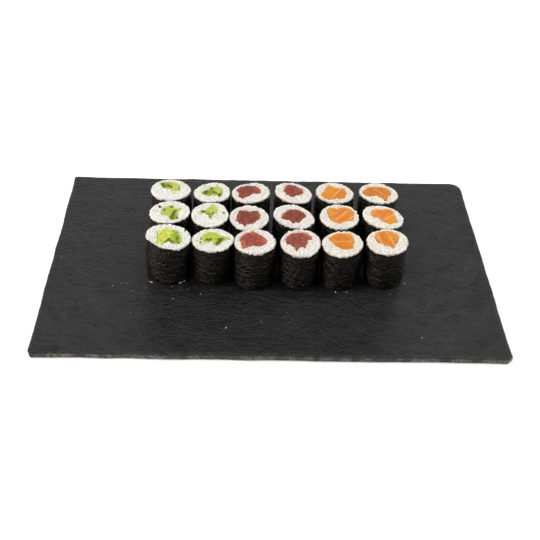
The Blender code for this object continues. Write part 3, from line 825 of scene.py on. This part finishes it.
def rice_places(label, lip, hole, dice):
    """Choose where the grains of a cut face lie: round the rim first, then over the face."""
    chosen, corners = [], lip + lip[:1]
    walked, due = 0.0, 0.0
    for a, b in zip(corners, corners[1:]):
        side = (b - a).length
        while due < walked + side:
            spot = a.lerp(b, (due - walked) / side)
            along = (b - a).normalized()
            inward = Vector((-along.y, along.x))
            aside = dice.gauss(0, 0.6)
            half = 0.5 * math.hypot(GRAIN.x * math.sin(aside), GRAIN.y * math.cos(aside))
            spot = spot + inward * (0.92 * half + dice.uniform(-0.06, 0.40) * MM)
            chosen.append((spot.x, spot.y, math.atan2(along.y, along.x) + aside,
                           RIM_BELOW + dice.uniform(-0.04, 0.06)))
            due += RIM_SPACING * dice.uniform(0.85, 1.15)
        walked += side
    low, high = np.min(lip, axis=0), np.max(lip, axis=0)
    darts = np.array([(dice.uniform(low[0], high[0]), dice.uniform(low[1], high[1]))
                      for _ in range(DARTS)])
    bearings = np.array([dice.uniform(0, math.tau) for _ in darts])
    ends = GRAIN_REACH * GRAIN.x * np.column_stack([np.cos(bearings), np.sin(bearings)])
    fit = (inside(darts, lip) & (nearest(darts, lip)[1] > FROM_LIP)
           & ~inside(darts, hole) & (nearest(darts, hole)[1] > FROM_HOLE))
    over = np.array([dice.random() < OVER_FILLING for _ in darts])
    for tips in (darts + ends, darts - ends):
        fit &= inside(tips, lip) & (~inside(tips, hole) | over)
    taken = np.array(chosen)[:, :2]
    for dart, bearing, ok in zip(darts, bearings, fit):
        if ok and (np.hypot(*(taken - dart).T) > GRAIN_SPACING).all():
            taken = np.vstack([taken, dart])
            chosen.append((dart[0], dart[1], bearing, FACE_BELOW + dice.uniform(-0.16, 0.12)))
    return chosen


def drawn_in(label, spots):
    """Draw points on a roll towards its middle where the sheet stands up outside the rice."""
    middle, moved = middle_of(label), []
    for spot in spots:
        out = spot - middle
        draw = sum(pull * MM * bump_at(math.atan2(out.y, out.x), place, half)
                   for place, half, pull in STANDS_UP.get(label, ()))
        moved.append(spot - out.normalized() * draw)
    return moved


def pack_rice(label):
    """Cover a roll's core with grains, pressed flat where the knife went through."""
    roll, node = ROLLS[label], f"rice_{label}"
    dice = random.Random(f"rice {label}")
    cut = cut_height(label)
    lip = drawn_in(label, seen_from_above(node))
    hole = level_cut(node, (BOARD_TOP + cut) / 2)[1]
    points, tones = [], []
    for x, y, bearing, below in rice_places(label, lip, hole, dice):
        grain = turned(GRAIN_POINTS * dice.uniform(0.86, 1.06), bearing, dice.gauss(0, 0.35),
                       dice.uniform(0, math.pi))
        grain = grain + (x, y, cut + below * MM)
        tip_x, tip_y = dice.gauss(0, 0.045), dice.gauss(0, 0.045)
        knife = (cut + dice.uniform(-0.10, 0.05) * MM
                 + tip_x * (grain[:, 0] - x) + tip_y * (grain[:, 1] - y))
        over = grain[:, 2] - knife
        grain[:, 2] = np.where(over > 0, knife + LEFT_BY_KNIFE * over, grain[:, 2])
        points.append(grain)
        tones += [dice.random()] * len(grain)
    coords, faces = joined(points, GRAIN_FACES)
    coords = hold_in(coords, lip)

    core = sliced(node, cut - CORE_BELOW_CUT)
    bmesh.ops.triangle_fill(core, edges=border_of(core), use_beauty=True, normal=(0, 0, 1))
    core_mesh = mesh_of("core", core)
    core_points = np.array([vert.co for vert in core_mesh.vertices])
    high = core_points[:, 2] > cut - STANDING_SHEET
    outside = high & (nearest(core_points[:, :2], hole)[1] > 0.001)
    core_points[outside, :2] = drawn_in(label, [Vector(spot) for spot in core_points[outside, :2]])
    core_faces = [tuple(face.vertices) for face in core_mesh.polygons]
    bpy.data.meshes.remove(core_mesh)
    together = np.concatenate([core_points, coords])
    mesh = bpy.data.meshes.new(f"rice_grains_{label}")
    mesh.from_pydata(together, [],
                     core_faces + [tuple(face) for face in faces + len(core_points)])
    piece = show(f"rice_grains_{label}", mesh, RICE[roll.kind], "rice", node)
    note(piece, "tone", [0.5] * len(core_points) + tones)
    note(piece, "near_filling", np.exp(-nearest(together[:, :2], hole)[1] / STAIN_REACH))
    return piece, len(points)


def hold_in(coords, lip):
    """Press whatever stands out past the rim back onto it."""
    places, gaps = nearest(coords[:, :2], lip)
    out = ~inside(coords[:, :2], lip) & (gaps > PAST_LIP)
    step = (coords[out, :2] - places[out]) / gaps[out, None]
    coords[out, :2] = places[out] + step * PAST_LIP
    return coords


rice = [pack_rice(label) for label in ROLLS]
print("grains per roll", [count for _, count in rice])
print("triangles of the first", faces_in(rice[0][0]))

# %% [markdown]
# ## Tuna, salmon and cucumber
#
# Raw tuna is lean: dark red, with fibres, and moist. Salmon is orange with pale lines of fat about 1
# mm wide between its flakes. Cucumber is cut in sticks with the skin on: pale yellow-green flesh,
# wet, and dark green skin. All three let light in, and each is painted lighter at its thin edges: a
# painted glow of the light that comes through there. The lines, patches and painted glow come from
# numbers kept on the mesh, so each roll shows its own.

# %% Flesh
def flesh_finish(name, deep, light, line, patch, edge, streaks, rough, blush):
    """Make a moist flesh: streaked, with lines, patches and a painted glow of light at its edges
    where the mesh says.
    """
    finish = bpy.data.materials.new(name)
    finish.use_nodes = True
    tree = finish.node_tree
    shader = tree.nodes["Principled BSDF"]
    place = add(tree, "ShaderNodeUVMap", {"uv_map": "fibres"}).outputs["UV"]
    stretched = add(tree, "ShaderNodeMapping", {"Scale": streaks}, {"Vector": place})
    fibres = add(tree, "ShaderNodeTexNoise",
                 {"Scale": 1.0, "Detail": 4.0, "Roughness": 0.6, "Distortion": 0.4},
                 {"Vector": stretched.outputs[0]})
    clouds = add(tree, "ShaderNodeTexNoise", {"Scale": CLOUDS, "Detail": 2.0}, {"Vector": place})
    mixed = add(tree, "ShaderNodeMix", {"data_type": "FLOAT", 0: 0.45},
                {2: fibres.outputs["Fac"], 3: clouds.outputs["Fac"]})
    tones = add(tree, "ShaderNodeValToRGB", links={"Fac": mixed.outputs[0]})
    tones.color_ramp.elements[0].position, tones.color_ramp.elements[1].position = 0.40, 0.60
    tones.color_ramp.elements[0].color = colour(deep)
    tones.color_ramp.elements[1].color = colour(light)
    paint = tones.outputs["Color"]
    # The edge colour is a painted glow: the thin edges painted lighter, as if lit by light coming
    # through the flesh
    for part, tint in (("patch", patch), ("edge", edge), ("line", line)):
        amount = add(tree, "ShaderNodeAttribute", {"attribute_name": part})
        paint = add(tree, "ShaderNodeMix", {"data_type": "RGBA", 7: colour(tint)},
                    {0: amount.outputs["Fac"], 6: paint}).outputs[2]
    shade = add(tree, "ShaderNodeAttribute", {"attribute_name": "shade"})
    paint = add(tree, "ShaderNodeMix", {"data_type": "RGBA", "blend_type": "MULTIPLY", 0: 1.0},
                {6: paint, 7: shade.outputs["Fac"]}).outputs[2]
    tree.links.new(paint, shader.inputs["Base Color"])
    bump = add(tree, "ShaderNodeBump", {"Strength": 0.2, "Distance": 0.0002},
               {"Height": fibres.outputs["Fac"]})
    tree.links.new(bump.outputs["Normal"], shader.inputs["Normal"])
    shader.inputs["Roughness"].default_value = rough
    shader.inputs["IOR"].default_value = 1.38
    shader.inputs["Specular IOR Level"].default_value = 0.2
    shader.inputs["Subsurface Weight"].default_value = 0.2
    shader.inputs["Subsurface Radius"].default_value = blush
    shader.inputs["Subsurface Scale"].default_value = 0.001
    return finish


CLOUDS = 320
FLESH = {
    # Fibres of tuna 0.9 mm apart, of salmon 1.7 mm, cells of cucumber 1.1 mm; the fifth colour is
    # the painted glow at the edges
    "tuna": flesh_finish("raw_tuna", "#76342d", "#a85b4b", "#7a3833", "#ae6745", "#b27060",
                         (250, 1100, 1), 0.4, (1.0, 0.35, 0.25)),
    "salmon": flesh_finish("raw_salmon", "#d07624", "#de8e3a", "#eeac6c", "#dc9430", "#e8ac6c",
                           (250, 600, 1), 0.38, (1.0, 0.55, 0.25)),
    "cucumber": flesh_finish("fresh_cucumber", "#a0b22a", "#d8da70", "#3c5c00", "#88a426",
                             "#dce09a", (700, 900, 1), 0.32, (0.8, 1.0, 0.4)),
}
print("flesh of", ", ".join(FLESH))

# %% [markdown]
# ## Dicing the cut face
#
# A filling's outline comes from its CAD strip and is roughened by a few tenths of a millimetre,
# because the knife tears the edge. That outline is one big face. It is diced by cutting it with a
# plane every 0.4 mm, both ways, so that it has enough points for fibres, fat lines and skin. The
# border is then extruded down to the board.

# %% Cut the filling
DICE = 0.0004
FLESH_CROWN, FLESH_BELOW, FIBRE_RELIEF = 0.00022, 0.00025, 0.00006
TORN_EDGE, SHOULDER = 0.00040, 0.0008
# How strongly the thin edges are painted lighter as a painted glow of light, and how far in that
# glow and the lower crown reach
EDGE_GLOW, EDGE_WIDTH = 0.55, 0.0007
LINE_HEIGHT = {"tuna": -0.00004, "salmon": 0.00006, "cucumber": 0.00012}
LINE_WOBBLE = {"tuna": 0.3, "salmon": 0.3, "cucumber": 1.2}
FLESH_SHADE = 0.92


def torn(outline, dice):
    """Roughen an outline: more points along it, moved a little to either side."""
    rough = []
    for a, b in zip(outline, outline[1:] + outline[:1]):
        steps = max(1, round((b - a).length / 0.0008))
        aside = Vector((b.y - a.y, a.x - b.x)).normalized()
        for step in range(steps):
            rough.append(a.lerp(b, step / steps) + aside * dice.uniform(-1.2, 1.0) * TORN_EDGE)
    return rough


def diced(outline):
    """Make one face of an outline and cut it into small squares."""
    face = bmesh.new()
    bmesh.ops.contextual_create(face, geom=[face.verts.new((*corner, 0)) for corner in outline])
    low, high = np.min(outline, axis=0), np.max(outline, axis=0)
    for axis, side in ((0, (1, 0, 0)), (1, (0, 1, 0))):
        for step in range(1, int((high[axis] - low[axis]) / DICE)):
            spot = [0.0, 0.0, 0.0]
            spot[axis] = low[axis] + step * DICE
            bmesh.ops.bisect_plane(face, geom=face.verts[:] + face.edges[:] + face.faces[:],
                                   dist=1e-6, plane_co=spot, plane_no=side)
    return face


def strength(points, strips):
    """Say how strongly each point lies on the strips, from 0 to 1."""
    total = np.zeros(len(points))
    for path, width in strips:
        for a, b in zip(path, path[1:]):
            start, along = np.array(a), np.array(b) - np.array(a)
            share = np.clip(((points - start) @ along) / (along @ along), 0, 1)
            gaps = np.linalg.norm(points - start - share[:, None] * along, axis=1)
            total = np.maximum(total, np.clip(1.45 - 0.8 * gaps / (width / 2), 0, 0.9))
    return total


def softness(points, spots):
    """Say how strongly each point lies in the soft patches, from 0 to 1."""
    total = np.zeros(len(points))
    for x, y, radius in spots:
        gaps = np.hypot(points[:, 0] - x, points[:, 1] - y)
        total = np.maximum(total, np.exp(-(gaps / radius) ** 4))
    return total


def cut_filling(label):
    """Cut a filling's face, carve its relief and run it down to the board."""
    roll = ROLLS[label]
    node = f"{roll.kind}_{label}"
    dice = random.Random(f"filling {label}")
    cut, middle = cut_height(label), middle_of(label)
    outline = level_cut(node, (BOARD_TOP + cut) / 2)[0]
    flesh = diced(torn(outline, dice))
    flesh.verts.index_update()
    spots = np.array([vert.co.xy for vert in flesh.verts])
    near_edge = np.exp(-nearest(spots, outline)[1] / EDGE_WIDTH)
    local = (spots - np.array(middle)) / MM
    wobble = np.array([[noise.noise((x / 1.3, y / 1.3, 3.0)), noise.noise((x / 1.3, y / 1.3, 8.0))]
                       for x, y in local])
    on_line = strength(local + LINE_WOBBLE[roll.kind] * wobble, roll.lines)
    on_patch = softness(local + 0.8 * wobble, roll.patches)
    to_grain = Matrix.Rotation(-math.radians(roll.grain), 2)
    for i, vert in enumerate(flesh.verts):
        along, across = to_grain @ Vector(local[i])
        fibre = noise.noise((along / 4.0, across / 0.9, 2.0))
        vert.co.z = (cut - FLESH_BELOW + FLESH_CROWN * (1 - near_edge[i])
                     + FIBRE_RELIEF * fibre + LINE_HEIGHT[roll.kind] * on_line[i])
    border = border_of(flesh)
    for height in (cut - SHOULDER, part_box(node)[0].z):
        border, ring = drawn_out(flesh, border)
        for vert in ring:
            vert.co.z = height
    bmesh.ops.edgeloop_fill(flesh, edges=border)
    bmesh.ops.recalc_face_normals(flesh, faces=flesh.faces)
    count = len(flesh.verts)
    uv = flesh.loops.layers.uv.new("fibres")
    for face in flesh.faces:
        for loop in face.loops:
            loop[uv].uv = to_grain @ (loop.vert.co.xy - middle)
    piece = show(f"{roll.kind}_strip_{label}", flesh, FLESH[roll.kind], roll.kind, node)
    # The edge amount paints a glow of light at the thin edges of the flesh
    for part, amount in (("line", on_line), ("patch", on_patch), ("edge", EDGE_GLOW * near_edge)):
        note(piece, part, np.append(amount, np.zeros(count - len(amount))))
    note(piece, "shade", [FLESH_SHADE * roll.shade] * count)
    return piece


fillings = [cut_filling(label) for label in ROLLS]
print(len(fillings), "fillings,", max(faces_in(piece) for piece in fillings), "triangles at most")

# %% [markdown]
# ## Sesame and crumbs
#
# A few black and toasted sesame seeds are pressed into the rice, and rice bits and crumbs lie on
# the board and at the feet of the rolls. They are small and repeat, so each kind is one mesh of
# joined copies. A seed is a sphere drawn out to about 2 x 1.3 x 0.9 mm and pinched at one end.

# %% Seeds, specks and crumbs
def plain_finish(name, dark, light, rough, grain):
    """Make a small thing's finish: two tones mixed by noise of its grain, in metres."""
    finish = bpy.data.materials.new(name)
    finish.use_nodes = True
    tree = finish.node_tree
    shader = tree.nodes["Principled BSDF"]
    place = add(tree, "ShaderNodeTexCoord").outputs["Object"]
    mix = add(tree, "ShaderNodeTexNoise", {"Scale": 1 / grain, "Detail": 2.0}, {"Vector": place})
    tones = add(tree, "ShaderNodeValToRGB", links={"Fac": mix.outputs["Fac"]})
    tones.color_ramp.elements[0].position, tones.color_ramp.elements[1].position = 0.35, 0.65
    tones.color_ramp.elements[0].color = colour(dark)
    tones.color_ramp.elements[1].color = colour(light)
    tree.links.new(tones.outputs["Color"], shader.inputs["Base Color"])
    bump = add(tree, "ShaderNodeBump", {"Strength": 0.3, "Distance": 0.0002},
               {"Height": mix.outputs["Fac"]})
    tree.links.new(bump.outputs["Normal"], shader.inputs["Normal"])
    shader.inputs["Roughness"].default_value = rough
    return finish


def strew(name, shape, places, finish, slot):
    """Lay copies of a small shape at places: point, bearing in degrees, length in metres."""
    dice = random.Random(name)
    parts = [turned(shape * length, math.radians(bearing), dice.gauss(0, 0.15), dice.gauss(0, 0.2))
             + np.array(point) for point, bearing, length in places]
    coords, faces = joined(parts, GRAIN_FACES)
    mesh = bpy.data.meshes.new(name)
    mesh.from_pydata(coords, [], [tuple(face) for face in faces])
    return show(name, mesh, finish, slot)


def on_rolls(places):
    """Give points on the cut faces: roll, mm off its middle, bearing in degrees, length in mm."""
    for label, x, y, bearing, length in places:
        middle = middle_of(label)
        yield ((middle.x + x * MM, middle.y + y * MM, cut_height(label) + SEED_LIFT), bearing,
               length * MM)


SEED_LIFT = 0.00025
SEED_POINTS = small_ball((1.0, 0.62, 0.42), 0.5)[0]
BLACK_SEEDS = (("r2c1", -7.2, 5.1, -40, 3.2), ("r2c2", 9.5, 1.9, 85, 2.1),
               ("r3c1", 11.4, 7.4, 60, 2.4), ("r3c2", -8.0, -3.5, 20, 1.9))
TAN_SEEDS = (("r1c1", 3.3, -4.6, 20, 2.6), ("r1c1", 2.2, -3.4, 80, 1.8),
             ("r1c2", 3.3, 8.5, 10, 2.2), ("r1c2", 6.4, 3.9, 40, 2.4),
             ("r2c2", -7.9, 1.6, 150, 2.2), ("r2c2", -6.3, 0.0, 30, 2.0),
             ("r3c2", -6.9, -5.3, 40, 2.4), ("r3c2", -3.8, -3.4, 160, 2.2),
             ("r3c2", -5.4, -4.6, 100, 2.0), ("r3c2", -10.3, -1.5, 70, 2.0),
             ("r3c5", -1.6, -8.6, 0, 1.6))
strew("black_sesame", SEED_POINTS, on_rolls(BLACK_SEEDS),
      plain_finish("black_sesame", "#15130f", "#2c2822", 0.45, 0.0006), "nori")
strew("toasted_sesame", SEED_POINTS, on_rolls(TAN_SEEDS),
      plain_finish("toasted_sesame", "#cdb878", "#efe0b0", 0.5, 0.0006), "rice")
print(len(BLACK_SEEDS), "black seeds,", len(TAN_SEEDS), "toasted")

# %% Crumbs on the board and at the feet
# Place on the board in mm, height above it, bearing in degrees and length, all from the front left
CRUMBS = (
    (-28.9, -74.6, 0.0, 60, 1.1), (-64.3, -46.7, 0.0, 20, 0.7), (-105.3, -34.2, 0.0, 40, 0.9),
    (-99.8, -31.0, 0.0, 0, 0.7), (-96.4, -31.2, 0.0, 50, 0.5), (-143.9, -3.9, 0.0, 10, 0.6),
    (-138.6, 4.0, 0.0, 80, 0.5), (-91.2, -39.0, 0.0, 20, 0.6), (-65.9, -33.6, 0.0, 0, 0.5),
    (-55.1, -36.1, 0.0, 70, 0.5), (-46.5, -41.1, 0.0, 30, 0.7), (-82.7, -35.0, 0.0, 0, 0.5),
    (-6.6, -68.1, 0.0, 80, 0.5), (95.1, -81.3, 0.0, 0, 0.8), (-90.2, -61.4, 0.0, 30, 0.5),
    (-72.3, -53.0, 0.0, 70, 0.5), (79.7, -38.0, 0.0, 20, 0.6), (-79.6, -30.0, 0.1, -25, 1.3),
    (-81.2, -29.2, 0.1, 10, 1.0), (-60.6, -29.9, 0.1, 25, 2.6), (-58.2, -28.3, 0.2, 35, 2.0),
    (-20.3, -30.9, 0.1, -50, 1.5), (-18.7, -33.0, 0.1, -40, 1.2), (43.3, -37.2, 0.1, 60, 1.1),
    (50.6, -37.2, 0.1, 0, 0.9), (90.6, -27.0, 0.2, 50, 1.1), (66.9, -25.6, 28.4, 120, 2.6),
)
crumbs = [((x * MM, y * MM, BOARD_TOP + height * MM + 0.2 * length * MM), bearing, length * MM)
          for x, y, height, bearing, length in CRUMBS]
strew("rice_crumbs", GRAIN_POINTS / GRAIN.x, crumbs,
      plain_finish("dry_rice_crumbs", "#cfc9b4", "#ecead9", 0.6, 0.0008), "rice")
print(len(crumbs), "crumbs")
